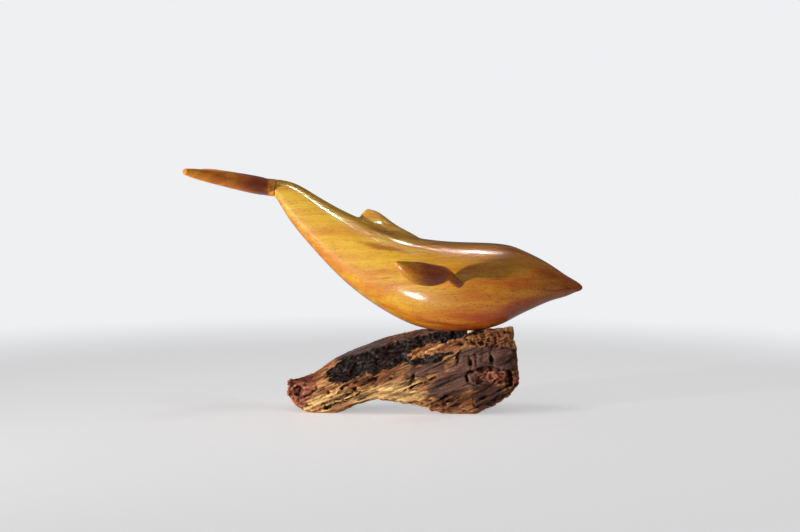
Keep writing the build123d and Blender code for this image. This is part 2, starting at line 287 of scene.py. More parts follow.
class Recipe(Nodes):
    """A material's node tree."""

    def __init__(self, name):
        self.material = bpy.data.materials.new(name)
        self.material.use_nodes = True
        super().__init__(self.material.node_tree)
        self.shader = self.tree.nodes["Principled BSDF"]
        self.place = self.node("ShaderNodeTexCoord").outputs["Object"]

    def surface(self, inputs):
        """Feeds the surface's inputs and gives the material."""
        for name, value in inputs.items():
            self.feed(self.shader.inputs[name], value)
        return self.material

    def stretched(self, sizes, turn=LEVEL, shift=LEVEL, place=None):
        """Places on the piece turned by turn, then divided by sizes, in metres."""
        turned = self.node("ShaderNodeMapping", {"Vector": place or self.place, "Rotation": turn, "Location": shift})
        return self.vector("MULTIPLY", turned.outputs[0], tuple(1.0 / s for s in sizes))

    def noise(self, sizes, turn=LEVEL, detail=3.0, roughness=0.55, distortion=0.0, shift=LEVEL, place=None):
        """Cloudy pattern from 0 to 1, with clouds of these sizes, in metres."""
        return self.node("ShaderNodeTexNoise", {
            "Vector": self.stretched(sizes, turn, shift, place), "Scale": 1.0, "Detail": detail,
            "Roughness": roughness, "Distortion": distortion}).outputs["Fac"]

    def between(self, value, low, high, bottom=0.0, top=1.0):
        """Value drawn out from low…high to bottom…top, smoothly and within those ends."""
        return self.node("ShaderNodeMapRange", {
            "Value": value, "From Min": low, "From Max": high, "To Min": bottom, "To Max": top},
            interpolation_type="SMOOTHSTEP").outputs["Result"]

    def swayed(self, value, pattern, by):
        """Value moved up and down by a pattern."""
        return self.sum("ADD", value, self.sum("MULTIPLY", self.sum("SUBTRACT", pattern, 0.5), by))

    def blend(self, share, a, b, kind="MIX"):
        """Colour a where share is 0 and colour b where it is 1."""
        return self.node("ShaderNodeMix", {"Factor": share, 6: a, 7: b}, data_type="RGBA", blend_type=kind).outputs[2]

    def over(self, colour, pattern, low, high, share, top):
        """Lays the colour top over colour, by up to share, where the pattern goes from low to high."""
        return self.blend(self.sum("MULTIPLY", self.between(pattern, low, high), share), colour, top)

    def stored(self, name):
        """A number stored on the piece's vertices."""
        return self.node("ShaderNodeAttribute", attribute_name=name).outputs["Fac"]

    def bumps(self, *layers):
        """Bumps on bumps, each given as height and depth in metres."""
        below = {}
        for height, depth in layers:
            bump = self.node("ShaderNodeBump", {"Height": height, "Strength": 1.0, "Distance": depth, **below})
            below = {"Normal": bump.outputs["Normal"]}
        return below["Normal"]


# centre, half lengths along and across, slope in degrees, strength, of each darker streak on the body's sides, and of
# the painted shade in the groove under the dorsal fin
STREAKS_AND_SHADE = (
    ((-3, 110), (24, 2.0), -12, 1.00),
    # painted shade: the shadowed groove below the dorsal fin
    ((-2, 120), (20, 2.6), -19, 0.75),
    ((40, 59.5), (26, 1.5), -6, 0.95),
    ((22, 63.5), (16, 1.0), -16, 0.55),
    ((58, 62.5), (14, 0.8), 2, 0.60),
    ((112, 82.0), (19, 1.1), -1, 0.95),
    ((104, 79.0), (22, 4.5), 16, 0.40),
    ((88, 73.0), (18, 0.9), 14, 0.45),
    ((-40, 130), (16, 0.8), -36, 0.35),
    ((-48, 127), (14, 0.7), -40, 0.40),
    ((-60, 139), (9, 0.7), -45, 0.35),
    ((70, 88.0), (30, 1.6), -4, 0.30),
    ((60, 76.0), (26, 2.2), 3, 0.28),
    ((92, 92.0), (20, 1.0), -18, 0.45),
)


def lacquered_wood(name, settings, turn, tint_and_light, heart):
    """Honey-coloured hardwood under clear gloss lacquer, stained and streaked as stored on the piece; part of what is
    stored is painted shade, at the fins' roots and under the dorsal fin.
    """
    r = Recipe(name)
    drift = r.node("ShaderNodeTexNoise", {"Vector": r.place, "Scale": 16.0, "Detail": 2.0}).outputs["Color"]
    place = r.vector("ADD", r.place, r.scaled(r.vector("SUBTRACT", drift, (0.5, 0.5, 0.5)), 0.009))

    rings = r.node("ShaderNodeTexWave", {
        "Vector": r.stretched((1.0, 1.0, 1.0), turn, heart, place), "Scale": RING_WAVE / settings.ring_width,
        "Distortion": 1.6, "Detail": 3.0, "Detail Scale": 22.0, "Detail Roughness": 0.6},
        wave_type="RINGS", rings_direction="X", wave_profile="SAW").outputs["Fac"]
    fibres = r.noise((0.022, 0.0009, 0.0009), turn, 4.0, 0.6, place=place)
    streaks = r.noise((0.085, 0.0075, 0.0055), turn, 3.0, 0.5, place=place)
    clouds = r.noise((0.040, 0.022, 0.022), turn, 2.0, 0.5)
    flecks = r.noise((0.0022, 0.0008, 0.0008), turn, 3.0, 0.65, shift=(0.4, 0.3, 0.2))
    crowd = r.noise((0.030, 0.008, 0.008), turn, 2.0, 0.5, shift=(0.2, 0.1, 0.4))
    dots = r.stretched((0.0046, settings.pore_gap, settings.pore_gap), turn, (0.31, 0.17, 0.05))
    dots = r.node("ShaderNodeTexVoronoi", {"Vector": dots, "Scale": 1.0}).outputs["Distance"]
    pores = r.sum("MULTIPLY", r.between(dots, 0.10, 0.24, 1.0, 0.0), r.between(crowd, 0.30, 0.54))

    colour = r.blend(r.between(streaks, 0.36, 0.64), settings.honey, settings.amber)
    late = r.sum("MULTIPLY", r.between(rings, 0.52, 0.98), r.between(clouds, 0.30, 0.70, 0.42, 0.10))
    colour = r.blend(late, colour, settings.ring_line)
    colour = r.over(colour, fibres, 0.48, 0.70, 0.55, settings.ring_line)
    colour = r.over(colour, fibres, 0.50, 0.28, 0.22, settings.pale)
    colour = r.over(colour, clouds, 0.38, 0.66, 0.30, settings.pale)
    # the piece's tint, which on the fluke also carries painted light
    colour = r.blend(1.0, colour, tint_and_light, "MULTIPLY")
    # the stored stain is deeper wood on the body and painted shade towards the fins' roots
    stain_and_shade = r.stored("stain_and_shade")
    speckled = r.sum("MULTIPLY", r.between(flecks, 0.50, 0.66), r.between(stain_and_shade, 0.0, 0.7, 0.22, 0.66))
    colour = r.blend(speckled, colour, settings.ring_line)
    # the stored streaks are dark streaks on the body, and painted shade at the fins' roots and under the dorsal fin
    colour = r.over(colour, r.swayed(r.stored("streak_and_shade"), fibres, 0.9), 0.22, 1.05, 0.92, settings.streak_and_shade)
    deepened_and_shaded = r.sum("MULTIPLY", stain_and_shade, r.between(streaks, 0.10, 0.80, 0.78, 1.15))
    colour = r.blend(deepened_and_shaded, colour, settings.stain_and_shade, "MULTIPLY")
    colour = r.blend(r.sum("MULTIPLY", pores, 0.72), colour, settings.pore)
    return r.surface({
        "Base Color": colour, "Roughness": r.between(fibres, 0.2, 0.8, 0.30, 0.46),
        "Coat Weight": 1.0, "Coat Roughness": 0.11, "Coat IOR": 1.5,
        "Normal": r.bumps((pores, -0.00006), (fibres, 0.00004))})


def turned_wood(name):
    """Plain pale dowel wood with fine straight grain."""
    r = Recipe(name)
    fibres = r.noise((0.0006, 0.0006, 0.012), LEVEL, 4.0, 0.6)
    colour = r.blend(r.between(fibres, 0.35, 0.70), (0.76, 0.60, 0.38), (0.58, 0.42, 0.24))
    colour = r.over(colour, r.noise((0.004, 0.004, 0.015), LEVEL, 2.0), 0.4, 0.7, 0.4, (0.82, 0.68, 0.47))
    return r.surface({"Base Color": colour, "Roughness": r.between(fibres, 0.2, 0.8, 0.5, 0.66),
                      "Normal": r.bumps((fibres, 0.00005))})


def broken_wood(name, settings):
    """Raw root wood: split fibres, weathered wood, red heart and char, as stored on the piece, with painted shade in
    the gaps and in the valley under the whale and painted highlights on the crests.
    """
    r = Recipe(name)
    turn = (0.0, GRAIN_SLOPE, 0.0)
    fibres = r.noise((0.026, 0.0007, 0.0007), turn, 5.0, 0.62, 0.2)
    strands = r.noise((0.042, 0.0021, 0.0021), turn, 4.0, 0.6, 0.3, (0.3, 0.2, 0.1))
    crumbs = r.noise((0.0016, 0.0012, 0.0012), turn, 4.0, 0.6)
    clouds = r.noise((0.016, 0.009, 0.009), turn, 3.0, 0.55, 0.0, (0.1, 0.3, 0.2))

    gold = r.blend(r.between(strands, 0.36, 0.60), settings.gold, settings.tan)
    gold = r.over(gold, strands, 0.42, 0.30, 0.55, settings.straw)
    gold = r.over(gold, fibres, 0.50, 0.70, 0.75, settings.fibre_line)
    gold = r.over(gold, fibres, 0.44, 0.26, 0.55, settings.straw)
    gold = r.over(gold, clouds, 0.50, 0.72, 0.45, settings.rust)
    mauve = r.blend(r.between(strands, 0.34, 0.66), settings.mauve, settings.umber)
    mauve = r.over(mauve, crumbs, 0.50, 0.72, 0.60, settings.bark_dust)
    mauve = r.over(mauve, fibres, 0.52, 0.70, 0.60, settings.fibre_line)
    red = r.blend(r.between(strands, 0.36, 0.62), settings.red_heart, settings.rust)
    red = r.over(red, crumbs, 0.52, 0.70, 0.55, settings.tan)
    grey = r.blend(r.between(clouds, 0.35, 0.65), settings.slab, settings.mauve)
    grey = r.over(grey, crumbs, 0.52, 0.70, 0.45, settings.bark_dust)
    char = r.blend(r.between(crumbs, 0.40, 0.72), settings.char, settings.ash)

    def frayed(share, low=0.36, high=0.66):
        """The stored share with its border frayed along the fibres."""
        return r.between(r.swayed(r.swayed(r.stored(share), strands, 1.3), crumbs, 0.5), low, high)

    colour = r.blend(frayed("mauve_share", 0.30, 0.75), gold, mauve)
    colour = r.blend(frayed("red_share"), colour, red)
    colour = r.blend(frayed("slab_share"), colour, grey)
    # the listed darker patches are multiplied by the darker tint
    darker_patch = r.sum("MULTIPLY", frayed("darker_patch_share", 0.25, 0.80), 0.85)
    colour = r.blend(darker_patch, colour, settings.darker_tint, "MULTIPLY")
    pale = r.sum("MULTIPLY", frayed("pale_share", 0.30, 0.80), 0.85)
    colour = r.blend(pale, colour, settings.bleach, "SCREEN")
    # the stored crest paints highlights on ridges and shade in hollows, partly also standing for wear on the edges
    chipped, crest_highlight_and_shade = r.between(r.stored("chip_tone"), -1.0, 1.0, 0.66, 1.25), r.stored("crest_highlight_and_shade")
    colour = r.scaled(colour, r.sum("MULTIPLY", chipped, r.between(crest_highlight_and_shade, -0.9, 0.9, 0.38, 1.42)))
    # the char share marks charred wood, and painted shade in the valley under the whale
    burnt_and_shaded = frayed("char_share", 0.42, 0.60)
    # on the char, crests are brightened up to 2.4 times: painted highlight
    colour = r.blend(burnt_and_shaded, colour, r.scaled(char, r.between(crest_highlight_and_shade, -0.8, 0.8, 0.25, 2.4)))
    # painted shade down in the gaps, cracks and pits
    colour = r.blend(r.stored("gap_shade_share"), colour, settings.gap, "MULTIPLY")
    dull, shine = r.between(crumbs, 0.3, 0.7, 0.72, 0.92), r.between(crumbs, 0.35, 0.65, 0.18, 0.50)
    roughness = r.node("ShaderNodeMix", {"Factor": burnt_and_shaded, 2: dull, 3: shine}, data_type="FLOAT").outputs[0]
    return r.surface({
        "Base Color": colour, "Roughness": roughness, "Specular IOR Level": 0.30,
        "Normal": r.bumps((strands, 0.0009), (fibres, 0.0005), (crumbs, 0.0004))})


def plain_floor(name, settings):
    """Matt pale floor, which looks a little brighter to the camera and melts into the backdrop far away."""
    r = Recipe(name)
    clouds = r.sum("MULTIPLY", r.noise((0.5, 0.5, 0.5), LEVEL, 2.0), 0.06)
    seen = r.node("ShaderNodeLightPath").outputs["Is Camera Ray"]
    r.surface({
        "Base Color": r.blend(clouds, settings.floor, (0.5, 0.5, 0.5)), "Roughness": 0.7,
        "Emission Color": settings.floor, "Emission Strength": r.sum("MULTIPLY", seen, settings.floor_glow)})
    reach = r.node("ShaderNodeVectorMath", {0: r.place}, operation="LENGTH").outputs["Value"]
    far = r.sum("MULTIPLY", r.between(reach, settings.fade_start, settings.fade_end), seen)
    backdrop = r.node("ShaderNodeEmission", {"Color": settings.backdrop}).outputs[0]
    mixed = r.node("ShaderNodeMixShader", {0: far, 1: r.shader.outputs[0], 2: backdrop}).outputs[0]
    r.feed(r.tree.nodes["Material Output"].inputs["Surface"], mixed)
    return r.material


# The root wood's patches, in millimetres along the whale and up: centre, half lengths along and across, slope in
# degrees, and how far in front of and behind the whale's middle plane each patch reaches
PATCHES = {
    "slab": (
        ((-17, 43), (24, 5.4), 25, (-9, 30)),
        ((-2, 52), (12, 4.0), 20, (-2, 30)),
    ),
    "char": (
        ((-8, 34.3), (37, 7.2), 21, (-30, 9)),
        ((11, 47), (15, 6.5), 20, (-30, 9)),
        # painted shade: char laid in the valley under the whale's belly, which is dark only from shade
        ((42, 52), (22, 5.5), 10, (-13, 9)),
        ((27, 36.5), (19, 3.0), 12, (-30, -6)),
        ((-37, 26), (6, 3.0), 25, (-30, 10)),
        ((-31, 31.2), (9, 3.2), 25, (-30, 9)),
        ((5, 28), (40, 4.5), 20, (12, 30)),
        ((58, 20), (14, 5.0), 30, (12, 30)),
    ),
    "mauve": (
        ((41, 20), (19, 8.5), 25, (-30, 2)),
        ((63, 31), (22, 15.0), 10, (-30, 2)),
        ((24, 28), (18, 4.5), 20, (-30, 0)),
        ((77, 36), (11, 10.0), 0, (-30, 8)),
        ((66, 12), (12, 6.5), 27, (-30, 2)),
        ((58, 37), (15, 8.5), 8, (-30, -2)),
        ((30, 47), (60, 14.0), 18, (4, 30)),
        ((-40, 18), (16, 9.0), 25, (8, 30)),
        ((44, 12), (22, 7.0), 25, (8, 30)),
    ),
    "red": (
        ((-58, 15.5), (11, 10.0), 25, (-30, 30)),
        ((-43, 29), (3, 1.6), 25, (-30, 10)),
        ((68, 25), (11, 5.5), 0, (-30, 0)),
        ((84, 22), (4, 6.0), 0, (-30, 10)),
        ((12, 46), (5, 2.5), 20, (-14, 0)),
    ),
    "darker_patch": (
        ((-14, 22), (26, 3.6), 22, (-30, 4)),
        ((40, 8), (16, 6.0), 25, (-30, 4)),
        ((84, 24), (7, 22.0), 0, (-30, 30)),
        ((38, 45), (20, 2.6), 13, (-30, -6)),
        ((72, 50), (17, 6.0), 0, (-30, 6)),
        ((60, 12), (16, 7.0), 20, (-30, 4)),
        ((-52, 24), (9, 4.0), 10, (-30, 10)),
        ((10, 20), (60, 9.0), 20, (12, 30)),
    ),
    "pale": (
        ((-2, 16), (26, 5.0), 16, (-30, 4)),
        ((-38, 8.5), (20, 4.4), 18, (-30, 4)),
        ((14, 12), (13, 4.0), 10, (-30, 4)),
        ((28, 45), (14, 2.2), 18, (-30, -9)),
    ),
    "chip": (
        ((-18, 19), (23, 5.0), 23, (-30, 4)),
        ((38, 7), (11, 5.0), 25, (-30, 4)),
        ((-64, 16), (5, 7.0), 0, (-30, 30)),
        ((-10, 12), (40, 6.0), 23, (10, 30)),
        ((74, 8), (9, 6.0), 30, (-30, 30)),
    ),
    "crumb": (
        ((48, 49), (40, 3.6), 13, (-30, -6)),
        ((73, 51), (15, 7.0), 0, (-30, 6)),
        ((68, 25), (12, 6.0), 0, (-30, 0)),
        ((20, 40), (12, 4.0), 15, (-30, -6)),
    ),
}

# width, depth and line of each crevice in the front
CREVICES = (
    (1.0, 1.0, ((48.2, 42.2), (46.3, 38.6), (46.3, 35.4), (45.2, 32.1))),
    (0.9, 1.0, ((53.4, 38.6), (54.7, 35.9), (55.0, 33.2), (54.5, 30.4))),
    (1.1, 2.0, ((57.2, 39.7), (58.5, 37.0), (58.0, 34.3), (58.8, 32.6))),
    (0.8, 1.0, ((62.1, 43.5), (62.9, 40.8), (62.6, 38.6), (61.8, 35.4))),
    (0.8, 1.0, ((69.1, 44.1), (67.5, 41.3), (67.8, 38.1), (68.6, 34.3), (69.7, 31.0))),
    (0.9, 1.0, ((55.0, 49.0), (57.2, 46.8), (60.4, 44.9), (65.9, 44.9), (72.4, 44.6))),
    (2.4, 2.6, ((55.4, 48.6), (57.0, 47.2))),
    (1.1, 1.6, ((53.4, 27.7), (51.2, 25.0), (53.4, 21.2), (56.1, 19.8), (59.9, 19.0))),
    (1.0, 1.2, ((53.4, 27.7), (57.2, 28.8), (60.4, 30.4), (64.8, 31.3), (70.7, 30.4), (80.0, 28.8))),
    (2.4, 2.0, ((80.5, 28.0), (81.2, 24.5), (81.0, 20.1), (80.0, 17.5))),
    (1.2, 1.8, ((78.9, 19.0), (75.1, 16.8), (72.4, 15.2))),
    (0.9, 1.0, ((58.3, 8.6), (62.6, 10.3), (67.5, 12.5), (71.3, 14.1))),
    (1.2, 1.5, ((56.6, 10.3), (56.1, 8.1), (57.2, 5.9))),
    (1.0, 2.0, ((10.5, 15.2), (23.0, 20.6), (32.2, 24.4))),
    (1.0, 1.2, ((15.4, 22.3), (17.0, 24.0), (18.0, 27.7))),
    (1.0, 2.0, ((28.9, 6.5), (33.3, 8.9), (38.7, 11.9))),
    (1.2, 2.5, ((31.6, 4.8), (36.5, 7.0), (43.1, 10.3))),
    (1.0, 2.0, ((35.5, 4.8), (40.9, 7.6), (44.7, 10.0))),
    (1.5, 2.0, ((66.8, 50.4), (67.1, 48.6))),
    (1.4, 2.0, ((71.2, 52.4), (71.5, 50.2))),
    (2.0, 2.0, ((48.0, 47.2), (49.6, 46.0))),
    (1.6, 1.5, ((-61.6, 16.2), (-57.6, 16.4), (-58.6, 12.6), (-60.4, 11.4))),
    (1.5, 2.5, ((-55.7, 19.4), (-53.5, 18.6))),
    (1.2, 1.8, ((-48.1, 21.5), (-46.9, 16.2), (-51.0, 12.7), (-55.1, 10.4))),
    (0.9, 1.2, ((-62.7, 19.0), (-55.7, 20.8), (-51.0, 21.6), (-45.2, 22.7))),
    (2.0, 3.0, ((-41.1, 3.3), (-34.0, 6.2), (-27.0, 8.6), (-17.7, 12.7))),
    (1.4, 2.5, ((-45.2, 4.5), (-37.6, 8.0), (-29.4, 10.9), (-22.9, 13.9))),
    (1.2, 1.0, ((-21.8, 18.0), (-19.4, 13.9))),
    (1.2, 1.0, ((-14.7, 19.2), (-10.0, 21.0), (-6.0, 24.4))),
    (1.5, 2.0, ((-34.0, 19.7), (-28.0, 21.4), (-23.5, 22.1))),
    (1.5, 2.0, ((14.5, 6.2), (17.4, 7.4))),
)


def oval_reach(across, up, centre, halves, slope, bend=0.0):
    """Distance from each point to the middle of a sloping oval, which is 1 on its edge."""
    x, z, turn = across - centre[0], up - centre[1], radians(slope)
    along = x * cos(turn) + z * sin(turn)
    over = z * cos(turn) - x * sin(turn) + bend
    return np.sqrt((along / halves[0]) ** 2 + (over / halves[1]) ** 2)


def patch_share(table, across, up, depth):
    """How much each point belongs to the patches of a table, from 0 to 1."""
    share = np.zeros(len(across))
    for centre, halves, slope, (low, high) in table:
        window = step_up(depth, low - PATCH_BORDER, low + PATCH_BORDER)
        window *= 1.0 - step_up(depth, high - PATCH_BORDER, high + PATCH_BORDER)
        share = np.maximum(share, (1.0 - step_up(oval_reach(across, up, centre, halves, slope), 0.70, 1.20)) * window)
    return share


def line_reach(line, across, up):
    """Distance from each point to a bent line."""
    best = np.full(len(across), np.inf)
    here = np.stack([across, up], axis=1)
    for start, end in zip(line, line[1:]):
        start, run = np.array(start), np.subtract(end, start)
        t = np.clip(((here - start) @ run) / (run @ run), 0.0, 1.0)
        best = np.minimum(best, np.linalg.norm(here - start - t[:, None] * run, axis=1))
    return best


def along_grain(points, long, wide, thick):
    """Points turned to the root wood's fibres and divided by these sizes."""
    x, y, z = points.T
    along, over = x * GRAIN[0] + z * GRAIN[2], z * GRAIN[0] - x * GRAIN[2]
    return np.stack([along / long, y / wide, over / thick], axis=1)


def read_patches(points):
    """How much each point, given in millimetres, belongs to each kind of wood."""
    bend = np.stack([rough(along_grain(points, 9.0, 6.0, 5.0), seed) for seed in (3, 5)], axis=1)
    across, up = points[:, 0] + 3.5 * bend[:, 0], points[:, 2] + 2.2 * bend[:, 1]
    return {name: patch_share(table, across, up, points[:, 1]) for name, table in PATCHES.items()}


def coarse_carving(points, normals, patches):
    """How far each point moves outwards, how deep it lies in a gap, which is later painted as shade, and its chip's
    number, in millimetres.
    """
    char, mauve, chip, crumb = (patches[k] for k in ("char", "mauve", "chip", "crumb"))
    plain = np.clip(1.0 - char - crumb - 0.6 * chip - 0.7 * patches["slab"], 0.0, 1.0)
    height = 0.5 * rough(along_grain(points, 30.0, 9.0, 7.5), 11, 2)
    height += plain * 0.60 * swell(along_grain(points, 46.0, 4.2, 2.8), 12)
    ridge = 1.0 - 2.0 * np.abs(swell(along_grain(points, 44.0, 2.2, 1.8), 13))
    groove = step_up(ridge, 0.55, 1.0) * step_up(swell(along_grain(points, 20.0, 8.0, 6.0), 14), -0.45, 0.25)
    gap = groove * plain
    height -= gap * (1.15 - 0.5 * mauve)

    _, seam, own, offset = lumps(along_grain(points, 9.5, 3.4, 2.5), 15)
    crack = 1.0 - step_up(seam, 0.02, 0.20)
    height += chip * (0.95 * own + 0.9 * offset[:, 0] - 0.9 * crack)
    gap = np.maximum(gap, chip * np.maximum(crack * 0.8, step_up(-own, 0.25, 0.8)))

    near, seam, knob, _ = lumps(along_grain(points, 7.5, 4.6, 3.8) + 0.35 * rough(points / 4.0, 24, 2)[:, None], 16)
    height += char * (1.3 * (0.45 - near) + 1.2 * knob - 0.9 * (1.0 - step_up(seam, 0.0, 0.14)))
    height += char * 0.9 * rough(along_grain(points, 5.0, 2.6, 2.2), 25, 2)

    near, _, pit, _ = lumps(points / np.array([2.9, 2.6, 2.5]), 17)
    hollow = step_up(0.52 - near, 0.0, 0.3) * step_up(pit, -0.05, 0.25)
    height += crumb * (0.9 * rough(points / 3.6, 18, 2) - 1.5 * hollow - 0.7)
    gap = np.maximum(gap, crumb * hollow)

    wobble = 0.7 * rough(points / 2.6, 19, 2)
    front = 1.0 - step_up(points[:, 1], -4.0, 2.0)
    front *= 1.0 - step_up(normals[:, 1], 0.35, 0.75)
    front *= 1.0 - step_up(normals[:, 2], 0.60, 0.85)
    for width, depth, line in CREVICES:
        reach = line_reach(line, points[:, 0], points[:, 2]) + wobble * np.minimum(1.0, width / 1.6)
        cut = (1.0 - step_up(reach, 0.15 * width, 0.70 * width)) * front
        height -= depth * cut
        gap = np.maximum(gap, cut)
    return height, gap, np.clip(own + 0.5 * knob * char, -1.0, 1.0)


def fine_carving(points, patches):
    """Small fibres, crumbs and char grains, in millimetres."""
    fibre = rough(along_grain(points, 20.0, 1.1, 1.1), 21, 2)
    grain = rough(points / 1.7, 22, 2)
    knob = rough(points / 2.1, 23, 2)
    crumb = np.maximum(patches["crumb"], 0.7 * patches["red"])
    return 0.32 * fibre * (1.0 - patches["char"]) + 0.32 * grain * crumb + 0.30 * knob * patches["char"] + 0.06 * grain


# Sizes and colours

def colour_property(name, description, default):
    """A colour that a user may change."""
    return FloatVectorProperty(name=name, description=description, default=default,
                               subtype="COLOR", size=3, min=0.0, max=1.0)


def number_property(name, description, default, **limits):
    """A plain number or a lamp's power that a user may change."""
    return FloatProperty(name=name, description=description, default=default, min=0.0, **limits)


def length_property(name, description, default):
    """A length in metres that a user may change."""
    return FloatProperty(name=name, description=description, default=default, min=0.05 * MM,
                         precision=5, subtype="DISTANCE", unit="LENGTH")


class WhaleSettings(bpy.types.PropertyGroup):
    """Sizes and colours of the lacquered whale"""

    skin_step: length_property("Body face size", "Size of the faces on the carved body", 0.70 * MM)
    fin_step: length_property("Fin face size", "Size of the faces on the fluke and the flippers", 0.42 * MM)
    ring_width: length_property("Ring width", "Distance between two growth rings", 5.2 * MM)
    pore_gap: length_property("Pore gap", "Distance between two pores across the grain", 1.05 * MM)
    honey: colour_property("Honey", "Main colour of the lacquered wood", (0.82, 0.455, 0.015))
    amber: colour_property("Amber", "Colour of the deeper streaks", (0.68, 0.225, 0.005))
    pale: colour_property("Pale", "Colour of the palest fibres", (0.88, 0.610, 0.050))
    ring_line: colour_property("Ring line", "Colour of the late wood of each growth ring", (0.47, 0.130, 0.005))
    # the streak colour also paints shade at the fins' roots and in the groove under the dorsal fin
    streak_and_shade: colour_property("Streak", "Colour of the dark streaks on the body", (0.38, 0.100, 0.006))
    pore: colour_property("Pore", "Colour of the pores", (0.26, 0.070, 0.004))
    # on the fluke and the flippers this tint is painted shade towards their roots
    stain_and_shade: colour_property("Stain", "Tint of the deeper wood towards the nose and along the belly",
                           (0.80, 0.345, 0.150))


class RootWoodSettings(bpy.types.PropertyGroup):
    """Sizes and colours of the rough root wood"""

    rough_step: length_property("Coarse face size", "Size of the faces while the wood is broken up", 0.70 * MM)
    skin_step: length_property("Face size", "Size of the faces on the finished root wood", 0.62 * MM)
    clearance: length_property("Clearance", "Space kept free under the whale's belly", 0.35 * MM)
    gold: colour_property("Gold", "Colour of freshly split fibres", (0.70, 0.305, 0.094))
    tan: colour_property("Tan", "Colour of duller split fibres", (0.46, 0.200, 0.075))
    straw: colour_property("Straw", "Colour of the palest fibres", (0.82, 0.560, 0.260))
    rust: colour_property("Rust", "Colour of the reddish brown patches", (0.32, 0.095, 0.036))
    fibre_line: colour_property("Fibre line", "Colour between the fibres", (0.105, 0.034, 0.015))
    mauve: colour_property("Mauve", "Colour of weathered wood", (0.150, 0.070, 0.056))
    umber: colour_property("Umber", "Colour of brown weathered wood", (0.195, 0.085, 0.048))
    bark_dust: colour_property("Bark dust", "Colour of the paler crumbs on weathered wood", (0.32, 0.180, 0.125))
    red_heart: colour_property("Red heart", "Colour of the red heartwood", (0.47, 0.145, 0.090))
    # the tint that darkens the listed darker patches
    darker_tint: colour_property("Age", "Tint of the darker, older breaks", (0.52, 0.38, 0.34))
    bleach: colour_property("Bleach", "Light added to the freshest breaks", (0.80, 0.420, 0.140))
    slab: colour_property("Slab", "Colour of the smooth grey wood on the upper slope", (0.115, 0.088, 0.084))
    # the char colour, also laid as painted shade in the valley under the whale
    char: colour_property("Char", "Colour of the charred wood", (0.010, 0.006, 0.005))
    ash: colour_property("Ash", "Colour of the greyer crumbs on the char", (0.034, 0.020, 0.017))
    # the colour of the painted shade in the gaps
    gap: colour_property("Gap", "Tint down in the gaps", (0.16, 0.11, 0.10))


class SplinterSettings(bpy.types.PropertyGroup):
    """Sizes of the splinters on the root wood"""

    length: length_property("Length", "Length of the longest splinters", 7.5 * MM)
    width: length_property("Width", "Width of the widest splinters", 0.85 * MM)
    chip_length: length_property("Chip length", "Length of the longest chips", 4.6 * MM)
    chip_width: length_property("Chip width", "Width of the widest chips", 1.9 * MM)
    crowd: number_property("Crowd", "Splinters on a square metre of the wood where they are thickest", 260000.0)
    seed: IntProperty(name="Seed", description="Changes where each splinter sits", default=8, min=0)


class StageSettings(bpy.types.PropertyGroup):
    """Camera, lamps and floor"""

    lens: FloatProperty(name="Lens", description="Focal length of the camera", default=70.0, min=10.0,
                        subtype="DISTANCE_CAMERA", unit="CAMERA")
    distance: length_property("Camera distance", "From the camera to the point it looks at", 1.034)
    elevation: FloatProperty(name="Camera elevation", description="Camera's angle above the horizon",
                             default=radians(3.5), subtype="ANGLE", unit="ROTATION")
    aim: FloatVectorProperty(name="Camera aim", description="Point that the camera looks at",
                             default=(0.0083, 0.0, 0.0968), subtype="XYZ_LENGTH", unit="LENGTH")
    key_power: number_property("Key light", "Power of the light from the low left front", 0.97, unit="POWER")
    top_power: number_property("Top light", "Power of the soft light from above", 1.3, unit="POWER")
    gloss_power: number_property("Gloss lights", "Power of the small lights that only show in the lacquer", 0.75,
                                 unit="POWER")
    sky: number_property("Sky", "Brightness of the even light from all sides", 0.20)
    sheen: number_property("Sky sheen", "Share of the even light that glossy surfaces mirror", 0.40, max=1.0)
    floor_size: length_property("Floor size", "Radius of the round floor", 4.0)
    floor: colour_property("Floor", "Colour of the floor", (0.78, 0.78, 0.79))
    floor_glow: number_property("Floor glow", "How much brighter the floor looks to the camera", 0.56)
    fade_start: length_property("Fade start", "Where the floor begins to melt into the backdrop", 0.35)
    fade_end: length_property("Fade end", "Where only the backdrop's colour is left", 0.72)
    backdrop: colour_property("Backdrop", "Colour seen behind the figurine", (0.86, 0.87, 0.89))


# Pieces

def body_stain(points):
    """How deep the body's stain is at each point: deeper towards the nose and along the belly."""
    low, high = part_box("whale_body")
    slices = np.clip(((points[:, 0] - low.x) / (high.x - low.x) * SLICES).astype(int), 0, SLICES - 1)
    bottom, top = np.full(SLICES, np.inf), np.full(SLICES, -np.inf)
    np.minimum.at(bottom, slices, points[:, 2])
    np.maximum.at(top, slices, points[:, 2])
    share = (points[:, 2] - bottom[slices]) / np.maximum(top[slices] - bottom[slices], MM)
    forward = step_up(points[:, 0], *FORWARD)
    belly = (1.0 - step_up(share, 0.02, 0.42)) * (0.45 + 0.35 * forward)
    return np.clip(0.64 * forward + belly + 0.5 * step_up(points[:, 0], *NOSE), 0.0, 1.4)


def body_streaks_and_shade(points):
    """How dark the body's streaks and the painted groove shade under the dorsal fin are at each point."""
    bend = 1.2 * rough(points / MM / np.array([22.0, 9.0, 9.0]), 41, 2)
    streak_and_shade = np.zeros(len(points))
    for centre, halves, slope, strength in STREAKS_AND_SHADE:
        reach = oval_reach(points[:, 0] / MM, points[:, 2] / MM, centre, halves, slope, bend)
        streak_and_shade = np.maximum(streak_and_shade, strength * (1.0 - step_up(reach, 0.0, 1.6)))
    return streak_and_shade


